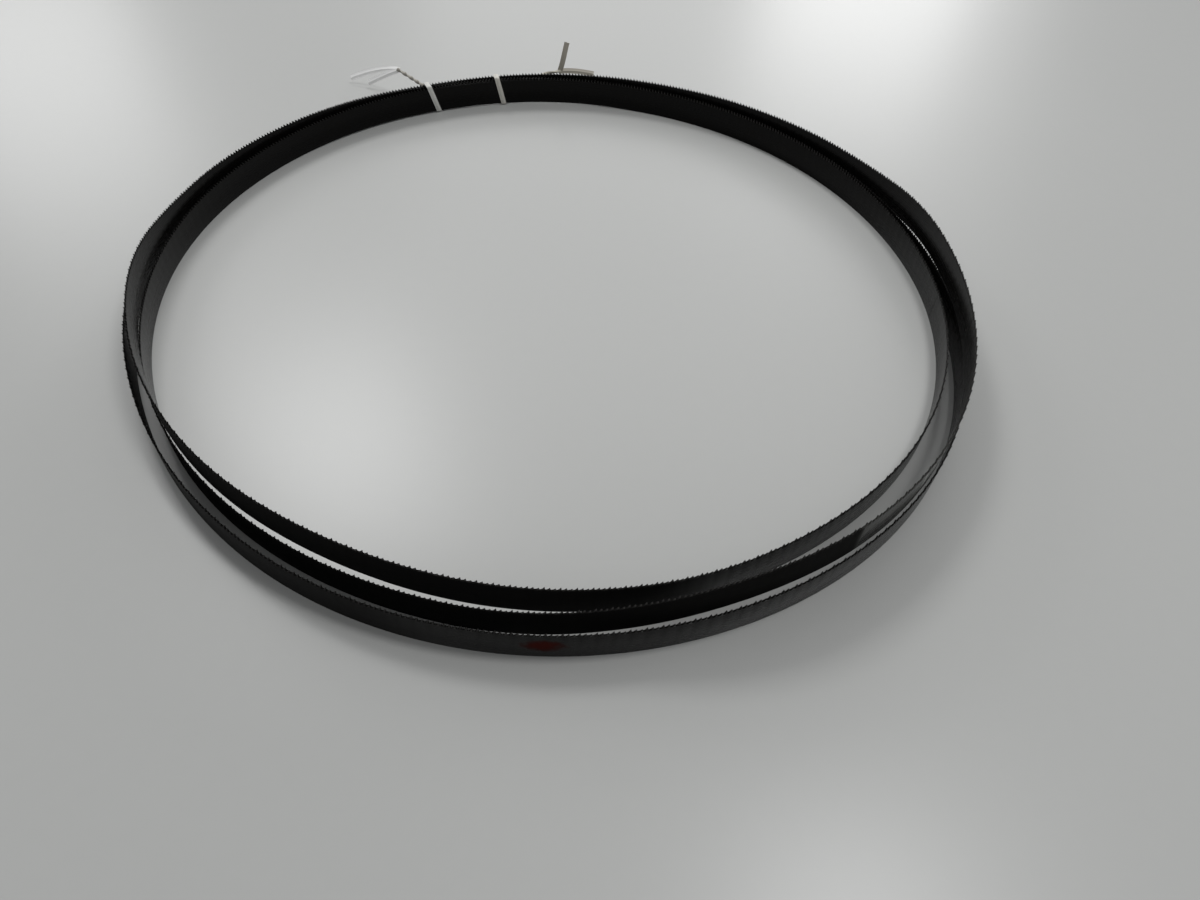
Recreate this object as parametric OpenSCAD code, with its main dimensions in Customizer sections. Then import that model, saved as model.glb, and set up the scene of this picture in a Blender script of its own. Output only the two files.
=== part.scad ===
// Band saw blade folded into three loops and held by two twist ties.
// The coil stands on its back edge, teeth up. The origin is under the middle of the coil, +Z up, millimetres.

/* [Band] */
// Height of the band from the back edge to the tooth tips
band_h = 20; // [13:0.5:26]
// Thickness of the band
band_t = 0.9; // [0.6:0.05:1]

/* [Teeth] */
// Distance from one tooth to the next
tooth_pitch = 2.54; // [2.5:0.01:6.5]
// Depth of the gullets
tooth_depth = 1.1; // [0.8:0.1:2.5]
// Sideways bend of the left and right teeth of each raker cycle
tooth_set = 0.3; // [0.1:0.05:0.35]
// Share of the pitch that the long back of a tooth takes
tooth_back = 0.85; // [0.6:0.05:0.95]

/* [Coil] */
// Mean radius of the three turns
coil_r = 250; // [200:5:255]
// Angle over which a rise of the band is rounded at its ends
rise_round = 6; // [3:1:10]

/* [Ties] */
// Width of the flat tie
tie_w = 4; // [3:0.5:6]
// Thickness of the flat tie
tie_t = 0.7; // [0.4:0.1:1]
// Play between a tie and the turns it holds
tie_play = 0.1; // [0.05:0.05:0.3]
// Room between a tie and the surface that the coil stands on
tie_room = 0.4; // [0.2:0.1:1]
// Radius of the tie's bend round the turns
tie_bend = 0.9; // [0.4:0.1:1.5]
// Where the left tie sits, anticlockwise from the right
tie_left_at = 120; // [117:1:130]
// Where the right tie sits
tie_right_at = 107; // [90:1:110]
// How far the left tie leans over
tie_left_lean = 17; // [0:1:25]
// How far the right tie leans over
tie_right_lean = 13; // [0:1:25]
// Width of a twisted stem
stem_w = 2.6; // [1.8:0.2:4]
// Turns in each stem's twist
stem_turns = 3; // [1:0.5:5]
// Width of the loose ends
tail_w = 3; // [2:0.5:5]

/* [Hidden] */

// Route of the band, anticlockwise from above and from the front: every knot_step degrees, how far the turn runs
// inside or outside the mean radius. The three turns join end to end, so the last knot leads back to the first.
knot_step = 30;
route_offsets = [
    -6, -13, -6.5, -7, -10, -10, -10, -8.5, -3.5, 0.5, 0.5, 0,
    -0.5, 9.5, 7, -2, -4, -5, -5.5, -3.5, 10.5, 15, 5.5, 10,
    12, 10.5, 9.5, -0.5, -8.5, -8, -8, -6.5, 1.5, 4, 0, -2.5,
];
turns = len(route_offsets) * knot_step / 360;
route_end = 360 * turns;

// How high the band rides on the turn below it, as a share of its own height, at angles along the route.
rises = [
    [270, 0], [297, 1], [377, 1], [390, 0.62], [410, 0.42], [440, 0.22], [480, 0],
    [835, 0], [870, 0.3], [895, 0.5], [911, 1], [968, 1], [1012, 0],
];

// Furthest that a tie stays from the middle of the band, to clear its bent teeth.
tooth_side = band_t / 2 + tooth_set + tie_play;

// The ties lift all turns a little, so that they pass under the back edges.
tie_lift = tie_room + tie_t + tie_play;
tie_lift_reach = 45;
tie_lift_run = 30;

// Routes of the loose ends from the outer face of the tie: outwards, along the coil, and height over band_h.
left_stem = [[-0.4, 0, 0.75], [4, 4, 0.85], [14, 10, 1.02], [29, 17, 1.08]];
left_tails = [
    [[28, 16, 1.08], [37, 20, 1.02], [55, 34, 0.6], [61, 49, 0.25]],
    [[28, 17, 1.05], [35, 23, 0.85], [41, 30, 0.55], [48, 38, 0.25]],
];
right_stem = [[-0.4, 0, 0.45], [3, -5, 0.55], [5, -24, 0.8], [5, -48, 0.97]];
right_tails = [
    [[5, -46, 0.97], [5.5, -53, 1.1], [5.5, -55, 1.6], [7, -58, 2.1]],
    [[5, -46, 0.95], [4, -57, 1], [0.5, -68, 1.02], [-3, -79, 0.94]],
];
stem_rings = 28;
tail_rings = 12;
tail_t = 0.6;

// Cubic B-spline through the knots: radius of the route at an angle along it.
function knot(i) = coil_r + route_offsets[(i + len(route_offsets)) % len(route_offsets)];
function route_r(a) =
    let (u = a / knot_step + 90 / knot_step, i = floor(u), f = u - i)
    (pow(1 - f, 3) * knot(i - 1)
        + (3 * pow(f, 3) - 6 * pow(f, 2) + 4) * knot(i)
        + (3 * f + 3 * pow(f, 2) - 3 * pow(f, 3) + 1) * knot(i + 1)
        + pow(f, 3) * knot(i + 2)) / 6;

// Height of the back edge along the route: the rounded rises and the small lift at the ties.
function rise(a) = let (q = rise_round)
    (lookup(a - q, rises) + lookup(a - q / 2, rises) + lookup(a, rises)
        + lookup(a + q / 2, rises) + lookup(a + q, rises)) / 5;
function ease(x) = let (c = max(0, min(1, x))) c * c * (3 - 2 * c);
tie_mid = (tie_left_at + tie_right_at) / 2;
function tie_bump(a) = ease((tie_lift_reach - abs((a - tie_mid + 540) % 360 - 180)) / tie_lift_run);
function route_z(a) = band_h * rise(a) + tie_lift * tie_bump(a);
function route(a) = [route_r(a) * cos(a), route_r(a) * sin(a), route_z(a)];

// Length along the route against the angle, so that the teeth come evenly spaced.
sample_step = 2;
samples = [for (a = [0 : sample_step : route_end]) route(a)];
last_sample = len(samples) - 1;
length_to_angle = [
    for (i = 0, s = 0; i <= last_sample; s = s + norm(samples[min(i + 1, last_sample)] - samples[i]), i = i + 1)
        [s, i * sample_step]
];
band_length = length_to_angle[last_sample][0];

// Whole raker cycles close the loop, and each stretch of the back edge carries span_teeth of them.
span_teeth = 9;
spans = round(band_length / (span_teeth * tooth_pitch));
teeth = spans * span_teeth;
tooth_step = band_length / teeth;

// The origin is under the middle of everything, the loose ends of the ties with it.
function about(p, at) = [p[0] * cos(at) - p[1] * sin(at), p[0] * sin(at) + p[1] * cos(at)];
reach = concat(
    samples,
    [for (tail = left_tails) about(at_tie(tail[3], tie_left_at), tie_left_at)],
    [for (tail = right_tails) about(at_tie(tail[3], tie_right_at), tie_right_at)]
);
function middle(axis) = let (v = [for (p = reach) p[axis]]) (max(v) + min(v)) / 2;
coil_middle = [middle(0), middle(1), 0];

// Point at a length along the band, beside its middle plane by side (outwards) and above its back edge by up.
function across(a) = let (d = route(a + 1) - route(a - 1)) [d[1], -d[0], 0] / norm([d[0], d[1]]);
function on_band(s, side, up) =
    let (a = lookup(s, length_to_angle))
    route(a) + side * across(a) + [0, 0, up];

// Tip of tooth i: straight for the raker, then bent outwards, then inwards.
function tip_side(i) = [0, 1, -1][i % 3] * (band_t / 2 + tooth_set);
function tooth_points(i) = [
    on_band(i * tooth_step, -band_t / 2, band_h - tooth_depth),
    on_band(i * tooth_step, band_t / 2, band_h - tooth_depth),
    on_band((i + tooth_back) * tooth_step, tip_side(i), band_h),
];
function back_points(j) = [
    on_band(j * span_teeth * tooth_step, -band_t / 2, 0),
    on_band(j * span_teeth * tooth_step, band_t / 2, 0),
];
function flatten(lists) = [for (l = lists) for (v = l) v];

// Numbers of the points in the closed ribbon.
function in_gullet(i) = 3 * (i % teeth);
function out_gullet(i) = 3 * (i % teeth) + 1;
function tip(i) = 3 * (i % teeth) + 2;
function in_back(j) = 3 * teeth + 2 * (j % spans);
function out_back(j) = in_back(j) + 1;

// Four faces of one tooth: outer, inner, long back and steep front.
function tooth_faces(i) = [
    [out_gullet(i), tip(i), out_gullet(i + 1)],
    [in_gullet(i + 1), tip(i), in_gullet(i)],
    [in_gullet(i), tip(i), out_gullet(i)],
    [out_gullet(i + 1), tip(i), in_gullet(i + 1)],
];

// Walls and back edge below one span of teeth. The near half of the teeth fans from the near end of the back edge,
// the far half from its far end.
function fan_end(j, k) = k < span_teeth / 2 ? j : j + 1;
function span_faces(j) = let (first = j * span_teeth, half = ceil(span_teeth / 2)) concat(
    [for (k = [0 : span_teeth - 1]) [out_back(fan_end(j, k)), out_gullet(first + k), out_gullet(first + k + 1)]],
    [for (k = [0 : span_teeth - 1]) [in_back(fan_end(j, k)), in_gullet(first + k + 1), in_gullet(first + k)]],
    [
        [out_back(j), out_gullet(first + half), out_back(j + 1)],
        [in_back(j), in_back(j + 1), in_gullet(first + half)],
        [in_back(j), out_back(j), out_back(j + 1)],
        [in_back(j), out_back(j + 1), in_back(j + 1)],
    ]
);

module blade() {
    color([0.27, 0.27, 0.28])
    translate(-coil_middle)
    polyhedron(
        points = concat(
            flatten([for (i = [0 : teeth - 1]) tooth_points(i)]),
            flatten([for (j = [0 : spans - 1]) back_points(j)])
        ),
        faces = concat(
            flatten([for (i = [0 : teeth - 1]) tooth_faces(i)]),
            flatten([for (j = [0 : spans - 1]) span_faces(j)])
        ),
        convexity = 12
    );
}

// Room that the turns take at an angle: nearest and furthest face, lowest back edge and highest tooth tip.
function held(at) = [for (k = [0 : turns - 1]) at + 360 * k];
function held_in(at) = min([for (a = held(at)) route_r(a)]) - tooth_side;
function held_out(at) = max([for (a = held(at)) route_r(a)]) + tooth_side;
function held_low(at) = min([for (a = held(at)) route_z(a)]) - tie_play;
function held_top(at) = max([for (a = held(at)) route_z(a)]) + band_h + tie_play;

module rounded(size, r) {
    for (x = [r, size[0] - r], y = [r, size[1] - r]) translate([x, y]) circle(r, $fn = 32);
    translate([r, 0]) square([size[0] - 2 * r, size[1]]);
    translate([0, r]) square([size[0], size[1] - 2 * r]);
}

// Flat tie bent round the turns: its loop seen along the coil, cut to its width by a slab that leans over.
module strap(at, lean) {
    wide = held_out(at) - held_in(at);
    tall = held_top(at) - held_low(at);
    shift = tan(lean) * (tall + 2 * tie_t) / 2;
    intersection() {
        translate([held_in(at) - tie_t, 0, held_low(at) - tie_t])
        rotate([90, 0, 0])
        linear_extrude(height = 4 * (tie_w + shift), center = true)
        difference() {
            rounded([wide + 2 * tie_t, tall + 2 * tie_t], tie_bend);
            translate([tie_t, tie_t]) square([wide, tall]);
        }
        translate([held_in(at) - 2 * tie_t, 0, held_low(at) - tie_t])
        rotate([90, 0, 90])
        linear_extrude(height = wide + 4 * tie_t)
        polygon([
            [-tie_w / 2 - shift, 0],
            [tie_w / 2 - shift, 0],
            [tie_w / 2 + shift, tall + 2 * tie_t],
            [-tie_w / 2 + shift, tall + 2 * tie_t],
        ]);
    }
}

// Smooth path through four points, as the curve that they pull.
function pulled(p, f) =
    pow(1 - f, 3) * p[0] + 3 * f * pow(1 - f, 2) * p[1] + 3 * f * f * (1 - f) * p[2] + pow(f, 3) * p[3];
function at_tie(p, at) = [held_out(at) + tie_t + p[0], p[1], band_h * p[2]];

// Section of the tie: two thin wings beside the wire in its middle.
function wings(w, t) = [[w / 2, t / 5], [0, t / 2], [-w / 2, t / 5], [-w / 2, -t / 5], [0, -t / 2], [w / 2, -t / 5]];

// Sweep of a section along a pulled path, twisted by turns on the way. The section's width starts along flat.
module sweep(path, section, rings, twist_turns, flat) {
    n = len(section);
    points = [
        for (i = [0 : rings]) let (
            f = i / rings,
            here = pulled(path, f),
            ahead = pulled(path, f + 0.01) - pulled(path, f - 0.01),
            u = cross(ahead, cross(flat, ahead)),
            x = u / norm(u),
            v = cross(ahead, x),
            y = v / norm(v),
            turn = 360 * twist_turns * f
        ) for (q = section)
            here + x * (q[0] * cos(turn) - q[1] * sin(turn)) + y * (q[0] * sin(turn) + q[1] * cos(turn))
    ];
    faces = concat(
        [[for (k = [0 : n - 1]) k]],
        [for (i = [0 : rings - 1], k = [0 : n - 1]) [i * n + k, (i + 1) * n + k, (i + 1) * n + (k + 1) % n]],
        [for (i = [0 : rings - 1], k = [0 : n - 1]) [i * n + k, (i + 1) * n + (k + 1) % n, i * n + (k + 1) % n]],
        [[for (k = [n - 1 : -1 : 0]) rings * n + k]]
    );
    polyhedron(points, faces, convexity = 6);
}

module tie(at, lean, stem, tails) {
    translate(-coil_middle)
    rotate([0, 0, at]) {
        strap(at, lean);
        sweep([for (p = stem) at_tie(p, at)], wings(stem_w, 2 * tie_t), stem_rings, stem_turns, [0, 1, 0]);
        for (tail = tails)
            sweep([for (p = tail) at_tie(p, at)], wings(tail_w, tail_t), tail_rings, 0, [0, 1, 0.3]);
    }
}

module tie_left() {
    color([0.86, 0.86, 0.84]) tie(tie_left_at, tie_left_lean, left_stem, left_tails);
}

module tie_right() {
    color([0.8, 0.77, 0.72]) tie(tie_right_at, tie_right_lean, right_stem, right_tails);
}

blade();
tie_left();
tie_right();
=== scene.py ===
"""Band saw blade folded into three loops and held by two twist ties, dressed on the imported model."""
import logging
import math
from dataclasses import dataclass, field
from enum import Enum

import bmesh
import bpy
import numpy as np
from mathutils import Matrix, Vector


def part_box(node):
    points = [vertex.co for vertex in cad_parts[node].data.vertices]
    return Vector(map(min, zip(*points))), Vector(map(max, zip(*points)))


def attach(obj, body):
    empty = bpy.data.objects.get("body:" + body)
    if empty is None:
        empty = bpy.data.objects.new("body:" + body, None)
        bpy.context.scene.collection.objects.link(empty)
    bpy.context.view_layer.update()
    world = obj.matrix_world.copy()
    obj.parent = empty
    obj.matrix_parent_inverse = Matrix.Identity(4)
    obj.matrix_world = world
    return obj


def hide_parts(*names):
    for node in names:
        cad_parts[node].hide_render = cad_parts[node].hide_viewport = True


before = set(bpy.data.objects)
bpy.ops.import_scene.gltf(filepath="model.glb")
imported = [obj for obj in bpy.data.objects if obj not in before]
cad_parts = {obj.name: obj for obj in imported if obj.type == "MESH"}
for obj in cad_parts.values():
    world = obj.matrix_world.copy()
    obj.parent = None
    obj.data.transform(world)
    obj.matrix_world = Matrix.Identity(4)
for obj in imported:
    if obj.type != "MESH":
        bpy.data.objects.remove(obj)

LOG = logging.getLogger("band_saw_blade")
MM = 0.001
BODY = "root"
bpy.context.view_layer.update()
Colour = tuple[float, float, float]
Place = tuple[float, float, float]
# Angles along the route, in degrees: where the weld and its scratches lie, and the rusty patch.
WELD_FROM, SCRATCH_AT, WELD_TO, RUST_AT = 308.3, 321.0, 329.0, 633.4
# Stretches without gloss: first and last angle, metres over which the end fades, strength.
MATT_STRETCHES = (
    (212.0, WELD_FROM, 0.003, 1.0),
    (930.0, 1002.0, 0.06, 1.0),
    (556.0, 612.0, 0.06, 0.6),
)
# Lamps: name, place and size in metres, power in watts.
LAMPS: tuple[tuple[str, Place, float, float], ...] = (
    ("back_right", (1.38, 4.99, 1.8), 1.2, 21.0),
    ("back_left", (-2.63, 3.18, 1.8), 1.0, 15.0),
    ("back", (0.3, 2.6, 1.7), 2.4, 20.0),
    ("left", (-0.8, 1.25, 1.8), 0.6, 15.0),
    ("overhead", (0.69, 0.0, 1.8), 0.4, 9.0),
)


class Set(Enum):
    """Way in which one tooth of the raker cycle is bent."""

    RAKER = 0.0
    OUTWARD = 1.0
    INWARD = -1.0


RAKER_CYCLE: tuple[Set, ...] = (Set.RAKER, Set.OUTWARD, Set.INWARD)


@dataclass(frozen=True)
class Route:
    """Route of the band through its three turns, anticlockwise from above, starting at the right.

    Lengths are millimetres and angles degrees, as in the part's own source.
    """

    coil_r: float = 250.0
    knot_step: float = 30.0
    knots_from: float = -90.0
    offsets: tuple[float, ...] = (
        -6, -13, -6.5, -7, -10, -10, -10, -8.5, -3.5, 0.5, 0.5, 0,
        -0.5, 9.5, 7, -2, -4, -5, -5.5, -3.5, 10.5, 15, 5.5, 10,
        12, 10.5, 9.5, -0.5, -8.5, -8, -8, -6.5, 1.5, 4, 0, -2.5,
    )
    rises: tuple[tuple[float, float], ...] = (
        (270, 0), (297, 1), (377, 1), (390, 0.62), (410, 0.42), (440, 0.22), (480, 0),
        (835, 0), (870, 0.3), (895, 0.5), (911, 1), (968, 1), (1012, 0),
    )
    rise_round: float = 6.0
    band_h: float = 20.0
    tie_lift: float = 1.2
    tie_mid: float = 113.5
    tie_lift_reach: float = 45.0
    tie_lift_run: float = 30.0
    table_step: float = 1.0

    @property
    def end(self) -> float:
        """Angle at which the route comes back to its start."""
        return len(self.offsets) * self.knot_step

    def radius(self, angle: np.ndarray) -> np.ndarray:
        """Distance from the middle of the coil, as a cubic B-spline through the knots.

        Args:
            angle: Angles along the route.

        Returns:
            One radius for each angle.
        """
        place = (angle - self.knots_from) / self.knot_step
        first = np.floor(place).astype(int)
        f = place - first
        knots = self.coil_r + np.array(self.offsets, float)
        p = [knots[(first + k) % len(knots)] for k in (-1, 0, 1, 2)]
        weights = ((1 - f) ** 3, 3 * f**3 - 6 * f**2 + 4, 1 + 3 * f + 3 * f**2 - 3 * f**3, f**3)
        return sum(w * q for w, q in zip(weights, p)) / 6

    def height(self, angle: np.ndarray) -> np.ndarray:
        """Height of the back edge above the surface that the coil stands on.

        Args:
            angle: Angles along the route.

        Returns:
            One height for each angle.
        """
        at, share = np.array(self.rises, float).T
        spread = self.rise_round * np.array([-1, -0.5, 0, 0.5, 1])
        rise = sum(np.interp(angle + q, at, share) for q in spread) / len(spread)
        away = np.abs((angle - self.tie_mid + 540) % 360 - 180)
        ease = np.clip((self.tie_lift_reach - away) / self.tie_lift_run, 0, 1)
        return self.band_h * rise + self.tie_lift * ease**2 * (3 - 2 * ease)

    def points(self, angle: np.ndarray) -> np.ndarray:
        """Points of the back edge's middle line.

        Args:
            angle: Angles along the route.

        Returns:
            An array of one x, y, z row for each angle.
        """
        turn = np.radians(angle)
        r = self.radius(angle)
        return np.stack([r * np.cos(turn), r * np.sin(turn), self.height(angle)], axis=-1)

    def across(self, angle: np.ndarray) -> np.ndarray:
        """Level directions square to the band, outwards.

        Args:
            angle: Angles along the route.

        Returns:
            An array of one unit x, y, z row for each angle.
        """
        d = self.points(angle + 0.5) - self.points(angle - 0.5)
        out = np.stack([d[:, 1], -d[:, 0], np.zeros(len(d))], axis=-1)
        return out / np.linalg.norm(out, axis=1)[:, None]

    def lengths(self) -> tuple[np.ndarray, np.ndarray]:
        """Table of the length run along the route against the angle.

        Returns:
            The lengths, and the angle at each.
        """
        angles = np.arange(0, self.end + self.table_step / 2, self.table_step)
        steps = np.linalg.norm(np.diff(self.points(angles), axis=0), axis=1)
        return np.concatenate([[0.0], np.cumsum(steps)]), angles

    def length_at(self, angle: float) -> float:
        """Length along the band at which the route reaches an angle."""
        run, angles = self.lengths()
        return float(np.interp(angle, angles, run))


@dataclass
class Blade:
    """The endless toothed band. Lengths are millimetres."""

    route: Route = field(default_factory=Route)
    thickness: float = 0.9
    pitch: float = 2.54
    tooth_depth: float = 1.5
    tooth_set: float = 0.3
    span_teeth: int = 9
    edge_round: float = 0.14
    block_teeth: int = 18
    tooth_outline: tuple[tuple[float, float], ...] = (
        (0.06, 0.02), (0.18, 0.05), (0.4, 0.24), (0.78, 0.96), (0.84, 1.0), (0.87, 0.6), (0.91, 0.12),
    )

    def teeth(self) -> int:
        """Whole raker cycles that close the loop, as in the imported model."""
        length = self.route.lengths()[0][-1]
        return round(length / (self.span_teeth * self.pitch)) * self.span_teeth

    def tooth_block(self, step: float) -> bmesh.types.BMesh:
        """A straight piece of the band with a block of teeth, open at both ends.

        Args:
            step: Distance from one tooth to the next.

        Returns:
            The mesh, x along the band, y outwards and z up.
        """
        bm = bmesh.new()
        base = self.route.band_h - self.tooth_depth
        side = -self.thickness / 2
        low = [bm.verts.new((x, side, 0)) for x in (0, step)]
        line = [bm.verts.new((x, side, base)) for x in (0, step)]
        top = [bm.verts.new((x * step, side, base + z * self.tooth_depth)) for x, z in self.tooth_outline]
        walls = [bm.faces.new((low[0], low[1], line[1], line[0]))]
        walls.append(bm.faces.new((line[0], line[1], *reversed(top))))
        made = bmesh.ops.extrude_face_region(bm, geom=walls)["geom"]
        moved = [v for v in made if isinstance(v, bmesh.types.BMVert)]
        bmesh.ops.translate(bm, vec=(0, self.thickness, 0), verts=moved)
        back = [e for e in bm.edges if all(v.co.z < MM for v in e.verts)
                and abs(e.verts[0].co.x - e.verts[1].co.x) > step / 2]
        bmesh.ops.bevel(bm, geom=back, offset=self.edge_round, segments=2, profile=0.5,
                        affect="EDGES", material=-1)
        ends = [f for f in bm.faces for x in (0, step) if all(abs(v.co.x - x) < MM for v in f.verts)]
        bmesh.ops.delete(bm, geom=ends, context="FACES")
        one = list(bm.verts) + list(bm.edges) + list(bm.faces)
        for k in range(1, self.block_teeth):
            self.repeat(bm, one, k * step)
        return bm

    def repeat(self, bm: bmesh.types.BMesh, geom: list, shift: float) -> None:
        """Copies a stretch of the band further along.

        Args:
            bm: The mesh that holds it.
            geom: The vertices, edges and faces to copy.
            shift: How far along the copy goes.
        """
        copy = bmesh.ops.duplicate(bm, geom=geom)["geom"]
        verts = [v for v in copy if isinstance(v, bmesh.types.BMVert)]
        bmesh.ops.translate(bm, vec=(shift, 0, 0), verts=verts)

    def strip(self) -> bmesh.types.BMesh:
        """The whole band laid out straight, its teeth bent sideways in the raker cycle.

        Returns:
            The mesh, x along the band, y outwards and z up.
        """
        teeth = self.teeth()
        step = self.route.lengths()[0][-1] / teeth
        bm = self.tooth_block(step)
        block = list(bm.verts) + list(bm.edges) + list(bm.faces)
        for k in range(1, teeth // self.block_teeth):
            self.repeat(bm, block, k * self.block_teeth * step)
        bmesh.ops.remove_doubles(bm, verts=bm.verts, dist=MM)
        base = self.route.band_h - self.tooth_depth
        for v in bm.verts:
            way = RAKER_CYCLE[int(v.co.x / step + MM) % len(RAKER_CYCLE)]
            v.co.y += way.value * self.tooth_set * max(0.0, v.co.z - base) / self.tooth_depth
        return bm

    def coil(self) -> bpy.types.Object:
        """Bends the straight band along its route and closes the loop.

        Returns:
            The finished piece, which carries each point's place on the band as the attribute band.
        """
        bm = self.strip()
        flat = np.array([v.co for v in bm.verts])
        run, angles = self.route.lengths()
        angle = np.interp(flat[:, 0], run, angles)
        bent = self.route.points(angle) + self.route.across(angle) * flat[:, 1:2]
        bent[:, 2] += flat[:, 2]
        low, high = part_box("blade")
        plan = (bent[:, :2].max(axis=0) + bent[:, :2].min(axis=0)) / 2
        shift = np.array([(low[0] + high[0]) / 2 / MM - plan[0], (low[1] + high[1]) / 2 / MM - plan[1], 0.0])
        place = bm.verts.layers.float_vector.new("band")
        for v, where, point in zip(bm.verts, flat, (bent + shift) * MM):
            v[place] = Vector(where * MM)
            v.co = Vector(point)
        bmesh.ops.remove_doubles(bm, verts=bm.verts, dist=0.01 * MM)
        bmesh.ops.recalc_face_normals(bm, faces=bm.faces)
        return as_piece(bm, "blade_band", sharp_above=25)


def as_piece(bm: bmesh.types.BMesh, name: str, sharp_above: float) -> bpy.types.Object:
    """Turns a finished mesh into an object of the scene.

    Args:
        bm: The mesh, in metres and in place. It is freed.
        name: Name of the piece.
        sharp_above: Angle in degrees past which an edge stays sharp.

    Returns:
        The object, at the origin.
    """
    mesh = bpy.data.meshes.new(name)
    bm.to_mesh(mesh)
    bm.free()
    mesh.shade_smooth()
    mesh.set_sharp_from_angle(angle=math.radians(sharp_above))
    piece = bpy.data.objects.new(name, mesh)
    bpy.context.scene.collection.objects.link(piece)
    return piece


@dataclass(frozen=True)
class TwistTie:
    """Flat twist tie with a wire in its middle: a strap round the turns, a twisted stem and two loose ends.

    Lengths are millimetres. A place is outwards from the strap, along the coil, and a share of the band's height.
    """

    name: str
    at: float
    lean: float
    stem: tuple[Place, ...]
    tails: tuple[tuple[Place, ...], ...]
    width: float = 4.0
    thick: float = 0.7
    stem_w: float = 3.0
    stem_t: float = 1.8
    tail_w: float = 4.2
    tail_t: float = 0.6
    stem_turns: float = 3.0
    bend: float = 1.2
    tooth_side: float = 0.85
    play: float = 0.1
    seen_from: Place = (0.15, -0.72, 0.68)
    table: int = 24

    def turns(self, route: Route) -> np.ndarray:
        """Angles along the route at which the turns pass the tie."""
        return self.at + np.arange(0.0, route.end, 360.0)

    def section(self, width: float, thick: float) -> np.ndarray:
        """Outline of the tie across its length: two thin wings beside the round wire.

        Args:
            width: Width over the wings.
            thick: Thickness over the wire.

        Returns:
            One row of width and thickness for each point, all the way round.
        """
        wire, web = thick * 0.45, thick * 0.22
        half = [(width / 2, web * 0.6), (wire * 1.5, web), (wire * 0.7, thick / 2), (-wire * 0.7, thick / 2),
                (-wire * 1.5, web), (-width / 2, web * 0.6)]
        return np.array(half + [(-x, -y) for x, y in half])

    def sweep(self, bm: bmesh.types.BMesh, centre: np.ndarray, wide: np.ndarray, section: np.ndarray,
              closed: bool, shade: float) -> None:
        """Adds the section, extruded step by step along a line.

        Args:
            bm: The mesh to add to, with the layer shade.
            centre: Points of the line.
            wide: Direction of the section's width at each point.
            section: The section's outline.
            closed: Whether the line is a loop.
            shade: Value of the layer shade on what is added.
        """
        layer = bm.verts.layers.float["shade"]
        ahead = np.roll(centre, -1, axis=0) - np.roll(centre, 1, axis=0)
        if not closed:
            ahead[0], ahead[-1] = centre[1] - centre[0], centre[-1] - centre[-2]
        places = [self.place(*ring) for ring in zip(centre, wide, ahead)]
        if closed:
            places.append(places[0])
        ring = [bm.verts.new(places[0] @ Vector((x * MM, y * MM, 0))) for x, y in section]
        made, face = list(ring), bm.faces.new(ring)
        first = face
        for here, ahead_of in zip(places, places[1:]):
            grown = bmesh.ops.extrude_face_region(bm, geom=[face, *face.edges])["geom"]
            ring = [v for v in grown if isinstance(v, bmesh.types.BMVert)]
            face = next(f for f in grown if isinstance(f, bmesh.types.BMFace))
            bmesh.ops.transform(bm, matrix=ahead_of @ here.inverted(), verts=ring)
            made += ring
        for v in made:
            v[layer] = shade
        if closed:
            bmesh.ops.delete(bm, geom=[f for f in (first, face) if f.is_valid], context="FACES_ONLY")
            bmesh.ops.remove_doubles(bm, verts=made, dist=0.02 * MM)

    @staticmethod
    def place(centre: np.ndarray, wide: np.ndarray, ahead: np.ndarray) -> Matrix:
        """Place of the section at one point of a line.

        Args:
            centre: The point.
            wide: Direction of the section's width there.
            ahead: Direction of the line there.

        Returns:
            The matrix that puts a flat section there, in metres.
        """
        x = Vector(wide).normalized()
        y = Vector(ahead).cross(x).normalized()
        turned = Matrix((x, y, x.cross(y))).transposed().to_4x4()
        return Matrix.Translation(Vector(centre * MM)) @ turned

    def strap(self, route: Route) -> tuple[np.ndarray, np.ndarray]:
        """Line of the strap: a loop with round corners that leans along the coil.

        Args:
            route: The band's route.

        Returns:
            The loop's points in the tie's own place, and the directions of its width.
        """
        turns = self.turns(route)
        inner = route.radius(turns).min() - self.tooth_side - self.thick / 2
        outer = route.radius(turns).max() + self.tooth_side + self.thick / 2
        low = route.height(turns).min() - self.play - self.thick / 2
        top = route.height(turns).max() + route.band_h + self.play + self.thick / 2
        corners = ((outer, top, 0), (inner, top, 90), (inner, low, 180), (outer, low, 270))
        points = []
        for x, z, first in corners:
            cx = x - math.copysign(self.bend, x - (inner + outer) / 2)
            cz = z - math.copysign(self.bend, z - (low + top) / 2)
            for turn in np.radians(np.linspace(first, first + 90, 7)):
                points.append((cx + self.bend * math.cos(turn), 0.0, cz + self.bend * math.sin(turn)))
        line = np.array(points)
        line[:, 1] = math.tan(math.radians(self.lean)) * (line[:, 2] - (low + top) / 2)
        return line, np.tile((0.0, 1.0, 0.0), (len(line), 1))

    def pulled(self, route: Route, places: tuple[Place, ...], count: int) -> np.ndarray:
        """Smooth line pulled by four places.

        Args:
            route: The band's route.
            places: The four places.
            count: Number of points along the line.

        Returns:
            The line's points in the tie's own place.
        """
        face = route.radius(self.turns(route)).max() + self.tooth_side + self.thick
        p = [np.array((face + out, along, share * route.band_h)) for out, along, share in places]
        f = np.linspace(0, 1, count)[:, None]
        return (1 - f) ** 3 * p[0] + 3 * f * (1 - f) ** 2 * p[1] + 3 * f**2 * (1 - f) * p[2] + f**3 * p[3]

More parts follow.
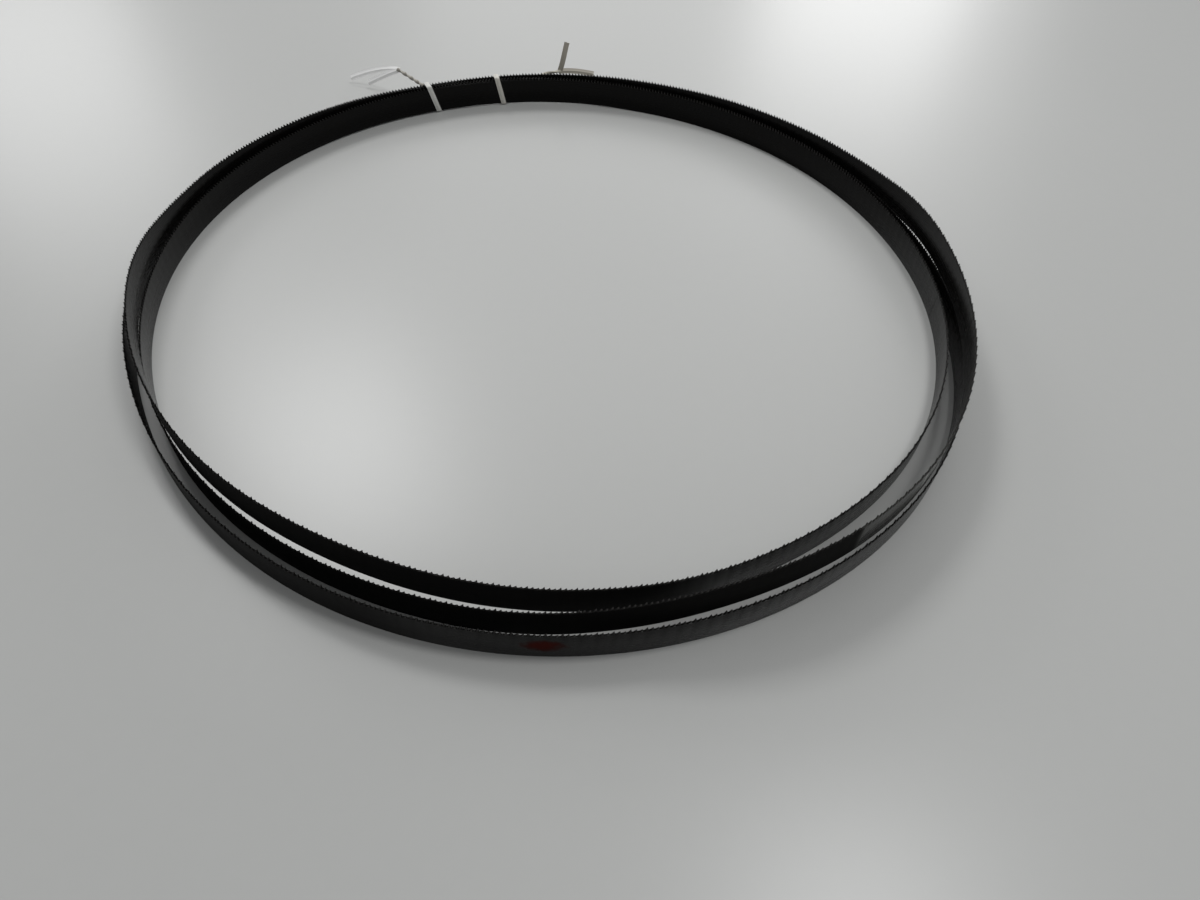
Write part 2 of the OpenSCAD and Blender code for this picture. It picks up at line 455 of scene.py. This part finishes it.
    def facing(self, line: np.ndarray, twist: float) -> np.ndarray:
        """Directions of the width along a line, so that the flat side is seen from above and in front.

        Args:
            line: The line's points.
            twist: Turns of twist along the line.

        Returns:
            One unit direction for each point.
        """
        ahead = np.gradient(line, axis=0)
        ahead /= np.linalg.norm(ahead, axis=1)[:, None]
        back = np.radians(-self.at)
        x, y, z = self.seen_from
        seen = np.array((x * math.cos(back) - y * math.sin(back), x * math.sin(back) + y * math.cos(back), z))
        wide = np.cross(ahead, seen)
        wide /= np.linalg.norm(wide, axis=1)[:, None]
        turn = np.linspace(0, 2 * math.pi * twist, len(line))[:, None]
        return wide * np.cos(turn) + np.cross(ahead, wide) * np.sin(turn)

    def build(self, route: Route, middle: Vector) -> bpy.types.Object:
        """Makes the tie.

        Args:
            route: The band's route.
            middle: Middle of the turns in the frame, in metres.

        Returns:
            The finished piece, with the attribute shade: 0 on the strap, 0.5 on the stem and 1 on the loose ends.
        """
        bm = bmesh.new()
        bm.verts.layers.float.new("shade")
        line, wide = self.strap(route)
        self.sweep(bm, line, wide, self.section(self.width, self.thick), True, 0.0)
        line = self.pulled(route, self.stem, 2 * self.table)
        stem = self.section(self.stem_w, self.stem_t)
        self.sweep(bm, line, self.facing(line, self.stem_turns), stem, False, 0.5)
        for tail in self.tails:
            line = self.pulled(route, tail, self.table)
            self.sweep(bm, line, self.facing(line, 0), self.section(self.tail_w, self.tail_t), False, 1.0)
        bmesh.ops.recalc_face_normals(bm, faces=bm.faces)
        bmesh.ops.transform(bm, matrix=Matrix.Translation(middle) @ Matrix.Rotation(math.radians(self.at), 4, "Z"),
                            verts=bm.verts)
        return as_piece(bm, self.name, sharp_above=40)


class Nodes:
    """Small builder for the node tree of one material or group."""

    def __init__(self, tree: bpy.types.NodeTree) -> None:
        """Takes the tree to build in, and keeps it."""
        self.tree = tree

    def add(self, kind: str, **values: object) -> bpy.types.Node:
        """Adds a node.

        Args:
            kind: The node's type, without the word ShaderNode.
            **values: Properties of the node, such as operation.

        Returns:
            The new node.
        """
        node = self.tree.nodes.new(kind if kind.startswith("NodeGroup") else "ShaderNode" + kind)
        for name, value in values.items():
            setattr(node, name, value)
        return node

    def link(self, source: object, target: bpy.types.NodeSocket) -> None:
        """Links an output to a socket, or writes a plain value there."""
        if isinstance(source, bpy.types.NodeSocket):
            self.tree.links.new(source, target)
        else:
            target.default_value = source

    def math(self, operation: str, a: object, b: object = 0.0, clamp: bool = False) -> bpy.types.NodeSocket:
        """One sum of two values or sockets.

        Args:
            operation: Name of the Math node's operation.
            a: First value or socket.
            b: Second value or socket.
            clamp: Whether the result stays between 0 and 1.

        Returns:
            The result's socket.
        """
        node = self.add("Math", operation=operation, use_clamp=clamp)
        self.link(a, node.inputs[0])
        self.link(b, node.inputs[1])
        return node.outputs[0]

    def ramp(self, value: object, low: float, high: float) -> bpy.types.NodeSocket:
        """Smooth share from 0 at low to 1 at high, or the other way round where low is above high."""
        node = self.add("MapRange", interpolation_type="SMOOTHSTEP")
        self.link(value, node.inputs["Value"])
        turned = low > high
        node.inputs["From Min"].default_value = min(low, high)
        node.inputs["From Max"].default_value = max(low, high)
        node.inputs["To Min"].default_value = 1.0 if turned else 0.0
        node.inputs["To Max"].default_value = 0.0 if turned else 1.0
        return node.outputs["Result"]

    def mix(self, share: object, a: object, b: object) -> bpy.types.NodeSocket:
        """Blend of two colours.

        Args:
            share: Share of the second, a value or socket.
            a: First colour or socket.
            b: Second colour or socket.

        Returns:
            The blend's socket.
        """
        node = self.add("Mix", data_type="RGBA")
        self.link(share, node.inputs["Factor"])
        self.link(rgba(a), node.inputs["A"])
        self.link(rgba(b), node.inputs["B"])
        return node.outputs["Result"]

    def noise(self, vector: bpy.types.NodeSocket, scale: float, detail: float = 3.0) -> bpy.types.NodeSocket:
        """Value of a noise texture."""
        node = self.add("TexNoise")
        node.inputs["Scale"].default_value = scale
        node.inputs["Detail"].default_value = detail
        self.link(vector, node.inputs["Vector"])
        return node.outputs["Fac"]

    def stretched(self, vector: bpy.types.NodeSocket, scale: Place,
                  offset: Place = (0, 0, 0)) -> bpy.types.NodeSocket:
        """The vector scaled along each axis."""
        node = self.add("Mapping")
        node.inputs["Scale"].default_value = scale
        node.inputs["Location"].default_value = offset
        self.link(vector, node.inputs["Vector"])
        return node.outputs["Vector"]


def rgba(colour: object) -> object:
    """A colour with its alpha, or the socket as it is."""
    return (*colour, 1.0) if isinstance(colour, tuple) and len(colour) == 3 else colour


def new_group(name: str, inputs: dict[str, tuple[str, object]], outputs: dict[str, str]) -> tuple:
    """Starts a shader node group.

    Args:
        name: Name of the group.
        inputs: Socket type and default of each input by name.
        outputs: Socket type of each output by name.

    Returns:
        The group, its builder, its input node and its output node.
    """
    group = bpy.data.node_groups.new(name, "ShaderNodeTree")
    for label, (kind, value) in inputs.items():
        socket = group.interface.new_socket(label, in_out="INPUT", socket_type=kind)
        if value is not None:
            socket.default_value = value
    for label, kind in outputs.items():
        group.interface.new_socket(label, in_out="OUTPUT", socket_type=kind)
    build = Nodes(group)
    return group, build, build.add("NodeGroupInput"), build.add("NodeGroupOutput")


def mottle_group() -> bpy.types.ShaderNodeTree:
    """Group that varies a colour in soft patches and fine specks, as handling and dust do.

    Returns:
        The group. Its inputs are Vector, Colour, Patches and Specks, its outputs Colour and Value.
    """
    patch_scale, speck_scale = 9.0, 420.0
    group, build, given, out = new_group(
        "mottle",
        {"Vector": ("NodeSocketVector", None), "Colour": ("NodeSocketColor", (0.5, 0.5, 0.5, 1)),
         "Patches": ("NodeSocketFloat", 0.2), "Specks": ("NodeSocketFloat", 0.1)},
        {"Colour": "NodeSocketColor", "Value": "NodeSocketFloat"},
    )
    place = given.outputs["Vector"]
    patch = build.math("SUBTRACT", build.noise(place, patch_scale, 4.0), 0.5)
    speck = build.math("SUBTRACT", build.noise(place, speck_scale, 2.0), 0.5)
    both = build.math("ADD", build.math("MULTIPLY", patch, given.outputs["Patches"]),
                      build.math("MULTIPLY", speck, given.outputs["Specks"]))
    gain = build.math("ADD", both, 1.0)
    scaled = build.add("VectorMath", operation="SCALE")
    build.link(given.outputs["Colour"], scaled.inputs[0])
    build.link(gain, scaled.inputs["Scale"])
    build.link(scaled.outputs[0], out.inputs["Colour"])
    build.link(gain, out.inputs["Value"])
    return group


class Finish:
    """A material with a Principled shader, built by the finishes below."""

    def __init__(self, name: str) -> None:
        """Makes the material and keeps its builder and shader."""
        self.material = bpy.data.materials.new(name)
        self.material.use_nodes = True
        self.build = Nodes(self.material.node_tree)
        self.shader = self.material.node_tree.nodes["Principled BSDF"]

    def set(self, **values: float) -> None:
        """Writes plain values to the shader's sockets, named with underscores for spaces."""
        for name, value in values.items():
            self.shader.inputs[name.replace("_", " ")].default_value = value

    def feed(self, socket: str, source: bpy.types.NodeSocket) -> None:
        """Links an output to one of the shader's sockets."""
        self.build.link(source, self.shader.inputs[socket])

    def bump(self, height: bpy.types.NodeSocket, strength: float, distance: float) -> None:
        """Feeds a bump to the shader's normal.

        Args:
            height: The height as a socket.
            strength: Strength of the bump.
            distance: Depth of a height of 1, in metres.
        """
        node = self.build.add("Bump")
        node.inputs["Strength"].default_value = strength
        node.inputs["Distance"].default_value = distance
        self.build.link(height, node.inputs["Height"])
        self.feed("Normal", node.outputs["Normal"])

    def mottled(self, group: bpy.types.ShaderNodeTree, vector: bpy.types.NodeSocket, colour: object,
                patches: float, specks: float) -> bpy.types.Node:
        """Places the mottle group.

        Args:
            group: The group.
            vector: Place on the surface.
            colour: Colour or socket to vary.
            patches: Strength of the soft patches.
            specks: Strength of the fine specks.

        Returns:
            The group node.
        """
        node = self.build.add("Group", node_tree=group)
        self.build.link(vector, node.inputs["Vector"])
        self.build.link(rgba(colour), node.inputs["Colour"])
        node.inputs["Patches"].default_value = patches
        node.inputs["Specks"].default_value = specks
        return node


@dataclass(frozen=True)
class BladeSteel:
    """Black rolled spring steel with bare tooth tips, matt stretches, a ground weld and one rusty patch.

    Places along the band are metres run from the right of the coil.
    """

    matt: tuple[tuple[float, float, float, float], ...]
    weld_from: float
    scratch_at: float
    weld_to: float
    rust_at: float
    tooth_line: float
    edge_h: float = 0.02
    steel: Colour = (0.0032, 0.0029, 0.0027)
    skin_index: float = 1.2
    bare: Colour = (0.16, 0.156, 0.15)
    ground: Colour = (0.05, 0.05, 0.046)
    scratch: Colour = (0.6, 0.6, 0.58)
    scratch_long: float = 0.017
    scratch_high: float = 0.0065
    scratch_up: float = 0.011
    rust: Colour = (0.045, 0.004, 0.002)
    rust_long: float = 0.0095
    rust_high: float = 0.0048
    rust_up: float = 0.0105

    def material(self, mottle: bpy.types.ShaderNodeTree) -> bpy.types.Material:
        """Builds the finish.

        Args:
            mottle: The mottle group.

        Returns:
            The material, which reads the attribute band.
        """
        finish = Finish("blade_steel")
        b = finish.build
        band = b.add("Attribute", attribute_name="band").outputs["Vector"]
        parts = b.add("SeparateXYZ")
        b.link(band, parts.inputs[0])
        along, side, up = parts.outputs
        grain = b.noise(b.stretched(band, (12, 300, 1500)), 1.0, 2.0)
        body = finish.mottled(mottle, b.stretched(band, (1, 1, 3)), self.steel, 0.5, 0.16)
        weld = self.weld(b, along, band)
        scratch = self.scratches(b, along, side, up, band)
        matt = self.blackened(b, along)
        colour = b.mix(weld, body.outputs["Colour"], self.ground)
        teeth = b.math("MULTIPLY", b.ramp(up, self.tooth_line, self.edge_h), 0.2)
        back = b.math("MULTIPLY", b.ramp(up, 0.0004, 0.0), 0.2)
        shown = b.math("MAXIMUM", teeth, back)
        colour = b.mix(shown, colour, self.bare)
        colour = b.mix(scratch, colour, self.scratch)
        rust = self.rusty(b, along, side, up, band)
        colour = b.mix(rust, colour, self.rust)
        finish.feed("Base Color", colour)
        worn = b.math("ADD", b.math("MULTIPLY", grain, 0.1), 0.22)
        worn = b.math("ADD", worn, b.math("MULTIPLY", b.math("SUBTRACT", body.outputs["Value"], 1.0), 0.2))
        worn = b.math("ADD", worn, b.math("MULTIPLY", matt, 0.6))
        finish.feed("Roughness", b.math("ADD", worn, b.math("MULTIPLY", rust, 0.7), clamp=True))
        metal = b.math("MAXIMUM", shown, b.math("MULTIPLY", weld, 0.6))
        finish.feed("Metallic", b.math("MAXIMUM", metal, scratch))
        finish.set(IOR=self.skin_index)
        relief = b.math("ADD", grain, b.math("MULTIPLY", rust, 1.5))
        finish.bump(relief, 0.06, 0.00005)
        return finish.material

    def blackened(self, b: Nodes, along: bpy.types.NodeSocket) -> bpy.types.NodeSocket:
        """Mask of the matt black stretches, which fade in and then fade out or stop short.

        Args:
            b: The material's builder.
            along: Place along the band.

        Returns:
            The mask's socket.
        """
        fade_in = 0.06
        mask = None
        for first, last, fade_out, strength in self.matt:
            entered = b.ramp(along, first, first + fade_in)
            stretch = b.math("MULTIPLY", entered, b.ramp(along, last + fade_out, last))
            stretch = b.math("MULTIPLY", stretch, strength)
            mask = stretch if mask is None else b.math("MAXIMUM", mask, stretch)
        return mask

    def weld(self, b: Nodes, along: bpy.types.NodeSocket, band: bpy.types.NodeSocket) -> bpy.types.NodeSocket:
        """Mask of the ground stretch round the weld, with its cross grinding marks.

        Args:
            b: The material's builder.
            along: Place along the band.
            band: Place on the band.

        Returns:
            The mask's socket.
        """
        soft = 0.0015
        start = b.ramp(along, self.weld_from - soft, self.weld_from + soft)
        stop = b.ramp(along, self.weld_to + 10 * soft, self.weld_to - 10 * soft)
        marks = b.ramp(b.noise(b.stretched(band, (500, 40, 60)), 1.0, 2.0), 0.3, 0.7)
        kept = b.math("ADD", b.math("MULTIPLY", marks, 0.45), 0.5)
        return b.math("MULTIPLY", b.math("MULTIPLY", start, stop), kept)

    def scratches(self, b: Nodes, along: bpy.types.NodeSocket, side: bpy.types.NodeSocket,
                  up: bpy.types.NodeSocket, band: bpy.types.NodeSocket) -> bpy.types.NodeSocket:
        """Mask of the bright scratches that the grinding wheel left in the middle of the weld.

        Args:
            b: The material's builder.
            along: Place along the band.
            side: Place across the band.
            up: Height above the back edge.
            band: Place on the band.

        Returns:
            The mask's socket.
        """
        away = b.math("ABSOLUTE", b.math("SUBTRACT", along, self.scratch_at))
        near = b.ramp(away, self.scratch_long, self.scratch_long * 0.4)
        away = b.math("ABSOLUTE", b.math("SUBTRACT", up, self.scratch_up))
        middle = b.ramp(away, self.scratch_high, 0.004)
        strokes = b.ramp(b.noise(b.stretched(band, (1300, 40, 45), (5, 0, 0)), 1.0, 1.0), 0.52, 0.62)
        outer = b.math("MULTIPLY", b.math("GREATER_THAN", side, 0.0), strokes)
        return b.math("MULTIPLY", b.math("MULTIPLY", near, middle), outer)

    def rusty(self, b: Nodes, along: bpy.types.NodeSocket, side: bpy.types.NodeSocket,
              up: bpy.types.NodeSocket, band: bpy.types.NodeSocket) -> bpy.types.NodeSocket:
        """Mask of the rusty patch on the outer face.

        Args:
            b: The material's builder.
            along: Place along the band.
            side: Place across the band, outwards.
            up: Height above the back edge.
            band: Place on the band.

        Returns:
            The mask's socket.
        """
        x = b.math("DIVIDE", b.math("SUBTRACT", along, self.rust_at), self.rust_long)
        z = b.math("DIVIDE", b.math("SUBTRACT", up, self.rust_up), self.rust_high)
        away = b.math("SQRT", b.math("ADD", b.math("MULTIPLY", x, x), b.math("MULTIPLY", z, z)))
        ragged = b.math("ADD", away, b.math("MULTIPLY", b.noise(band, 260.0, 4.0), 0.9))
        return b.math("MULTIPLY", b.ramp(ragged, 1.75, 0.85), b.math("GREATER_THAN", side, 0.0))


@dataclass(frozen=True)
class TiePlastic:
    """Thin plastic of a twist tie, creased over its wire: one plastic with painted light and shade, a lighter or
    darker colour on strap, stem and loose ends.
    """

    name: str
    # Strap, stem and ends: one plastic painted lighter or darker as each part is lit or shaded.
    strap: Colour
    stem: Colour
    ends: Colour
    roughness: float = 0.45

    def material(self, mottle: bpy.types.ShaderNodeTree) -> bpy.types.Material:
        """Builds the finish.

        Args:
            mottle: The mottle group.

        Returns:
            The material, which reads Object coordinates and the attribute shade.
        """
        finish = Finish(self.name)
        b = finish.build
        place = b.add("TexCoord").outputs["Object"]
        shade = b.add("Attribute", attribute_name="shade").outputs["Fac"]
        # Painted light and shade: the attribute shade picks the strap, stem or loose ends colour of the one
        # plastic.
        colour = b.mix(b.ramp(shade, 0.2, 0.3), self.strap, self.stem)
        colour = b.mix(b.ramp(shade, 0.7, 0.8), colour, self.ends)
        skin = finish.mottled(mottle, b.stretched(place, (6, 6, 6)), colour, 0.22, 0.12)
        finish.feed("Base Color", skin.outputs["Colour"])
        crease = b.noise(place, 900.0, 3.0)
        finish.feed("Roughness", b.math("ADD", b.math("MULTIPLY", crease, 0.2), self.roughness - 0.1))
        finish.bump(crease, 0.3, 0.0001)
        return finish.material


@dataclass(frozen=True)
class TableTop:
    """Pale smooth surface that the coil stands on."""

    colour: Colour = (0.47, 0.475, 0.465)
    roughness: float = 0.3

    def material(self, mottle: bpy.types.ShaderNodeTree) -> bpy.types.Material:
        """Builds the finish.

        Args:
            mottle: The mottle group.

        Returns:
            The material, which reads Object coordinates.
        """
        finish = Finish("table_top")
        b = finish.build
        place = b.add("TexCoord").outputs["Object"]
        skin = finish.mottled(mottle, b.stretched(place, (0.3, 0.3, 0.3)), self.colour, 0.05, 0.02)
        finish.feed("Base Color", skin.outputs["Colour"])
        finish.set(Roughness=self.roughness, Specular_IOR_Level=0.35)
        return finish.material


@dataclass
class Studio:
    """Floor, soft light and the camera, which looks at the coil as the photograph does.

    Places are metres from the middle of the coil's turns.
    """

    coil_middle: Vector
    camera_at: Place = (0.0341, -0.4427, 0.365)
    camera_down: float = 49.84
    camera_roll: float = 4.54
    focal_px: float = 860.2
    image_w: float = 1200.0
    sensor_w: float = 36.0
    floor_size: float = 7.0
    world_light: float = 0.33

    def floor(self, material: bpy.types.Material) -> bpy.types.Object:
        """Makes the floor.

        Args:
            material: Its finish.

        Returns:
            The floor's object.
        """
        bm = bmesh.new()
        bmesh.ops.create_grid(bm, x_segments=2, y_segments=2, size=self.floor_size / 2)
        mesh = bpy.data.meshes.new("floor")
        bm.to_mesh(mesh)
        bm.free()
        mesh.materials.append(material)
        floor = bpy.data.objects.new("floor", mesh)
        bpy.context.scene.collection.objects.link(floor)
        return floor

    def lamp(self, name: str, at: Place, size: float, power: float) -> bpy.types.Object:
        """Makes one soft square lamp that faces the coil.

        Args:
            name: Name of the lamp.
            at: Where it hangs.
            size: Its side.
            power: Its power in watts.

        Returns:
            The lamp's object.
        """
        light = bpy.data.lights.new(name, "AREA")
        light.shape = "SQUARE"
        light.size = size
        light.energy = power
        lamp = bpy.data.objects.new(name, light)
        lamp.matrix_world = Matrix.Translation(at) @ Vector(at).to_track_quat("Z", "Y").to_matrix().to_4x4()
        bpy.context.scene.collection.objects.link(lamp)
        return lamp

    def world(self) -> None:
        """Gives an even pale light from all round."""
        world = bpy.data.worlds.new("studio")
        world.use_nodes = True
        sky = world.node_tree.nodes["Background"]
        sky.inputs["Color"].default_value = (0.98, 0.99, 1.0, 1.0)
        sky.inputs["Strength"].default_value = self.world_light
        bpy.context.scene.world = world
        bpy.context.scene.view_settings.view_transform = "Standard"

    def camera(self) -> bpy.types.Object:
        """Makes the camera at the photograph's place, tilt and roll.

        Returns:
            The camera's object.
        """
        lens = bpy.data.cameras.new("camera")
        lens.sensor_fit = "HORIZONTAL"
        lens.sensor_width = self.sensor_w
        lens.lens = self.focal_px / self.image_w * self.sensor_w
        lens.clip_start = 0.01
        camera = bpy.data.objects.new("camera", lens)
        tilt = Matrix.Rotation(math.radians(90 - self.camera_down), 4, "X")
        roll = Matrix.Rotation(math.radians(self.camera_roll), 4, "Z")
        camera.matrix_world = Matrix.Translation(Vector(self.camera_at) + self.coil_middle) @ tilt @ roll
        bpy.context.scene.collection.objects.link(camera)
        bpy.context.scene.camera = camera
        return camera


def coil_middle(blade: Blade) -> Vector:
    """Middle of the turns in the frame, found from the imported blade's box.

    Args:
        blade: The blade, for its route.

    Returns:
        The middle, on the surface that the coil stands on.
    """
    low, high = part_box("blade")
    plan = blade.route.points(np.arange(0, blade.route.end, 1.0))[:, :2]
    middle = (plan.max(axis=0) + plan.min(axis=0)) / 2 * MM
    return Vector(((low[0] + high[0]) / 2 - middle[0], (low[1] + high[1]) / 2 - middle[1], 0.0))


def ties() -> tuple[tuple[TwistTie, str, TiePlastic], ...]:
    """The two ties as they lie in the photograph.

    Returns:
        For each the tie, the node that it replaces and its finish.
    """
    left = TwistTie(
        "tie_left_wrap", 120.0, 17.0,
        stem=((-0.4, 0, 0.75), (4, 4, 0.85), (14, 10, 1.02), (29, 17, 1.08)),
        tails=(((28, 16, 1.08), (37, 20, 1.02), (55, 34, 0.6), (61, 49, 0.25)),
               ((28, 17, 1.05), (35, 23, 0.85), (41, 30, 0.55), (48, 38, 0.25))),
    )
    right = TwistTie(
        "tie_right_wrap", 107.0, 13.0,
        stem=((-0.4, 0, 0.45), (3, -5, 0.55), (5, -26, 0.8), (5, -53, 0.97)),
        tails=(((5, -52, 0.97), (5.2, -54, 1.2), (6, -55.5, 1.6), (7, -58, 2.08)),
               ((5, -51, 0.95), (4, -59, 1), (0.5, -68, 1.02), (-3, -79, 0.94))),
    )
    return (
        # Strap, stem and ends colours of each tie are painted light and shade on one plastic: lighter where a part
        # is lit, darker where it is shaded.
        (left, "tie_left", TiePlastic("tie_white", (0.6, 0.6, 0.57), (0.36, 0.34, 0.3), (0.93, 0.93, 0.92))),
        (right, "tie_right", TiePlastic("tie_tan", (0.58, 0.56, 0.51), (0.42, 0.4, 0.33), (0.42, 0.39, 0.33))),
    )


def main() -> None:
    """Builds the band, its finishes and the studio, in that order."""
    logging.basicConfig(level=logging.INFO, format="%(name)s: %(message)s")
    mottle = mottle_group()
    blade = Blade()
    piece = blade.coil()
    route = blade.route
    steel = BladeSteel(
        matt=tuple(
            (route.length_at(first) * MM, route.length_at(last) * MM, fade_out, strength)
            for first, last, fade_out, strength in MATT_STRETCHES
        ),
        weld_from=route.length_at(WELD_FROM) * MM,
        scratch_at=route.length_at(SCRATCH_AT) * MM,
        weld_to=route.length_at(WELD_TO) * MM,
        rust_at=route.length_at(RUST_AT) * MM,
        tooth_line=(route.band_h - blade.tooth_depth) * MM,
    )
    piece.data.materials.append(steel.material(mottle))
    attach(piece, BODY)
    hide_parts("blade")
    LOG.info("%s has %d teeth", piece.name, blade.teeth())
    middle = coil_middle(blade)
    for tie, node, plastic in ties():
        piece = tie.build(route, middle)
        piece.data.materials.append(plastic.material(mottle))
        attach(piece, BODY)
        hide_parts(node)
    studio = Studio(coil_middle=middle)
    studio.floor(TableTop().material(mottle))
    studio.world()
    for lamp in LAMPS:
        studio.lamp(*lamp)
    studio.camera()


if __name__ == "__main__":
    main()
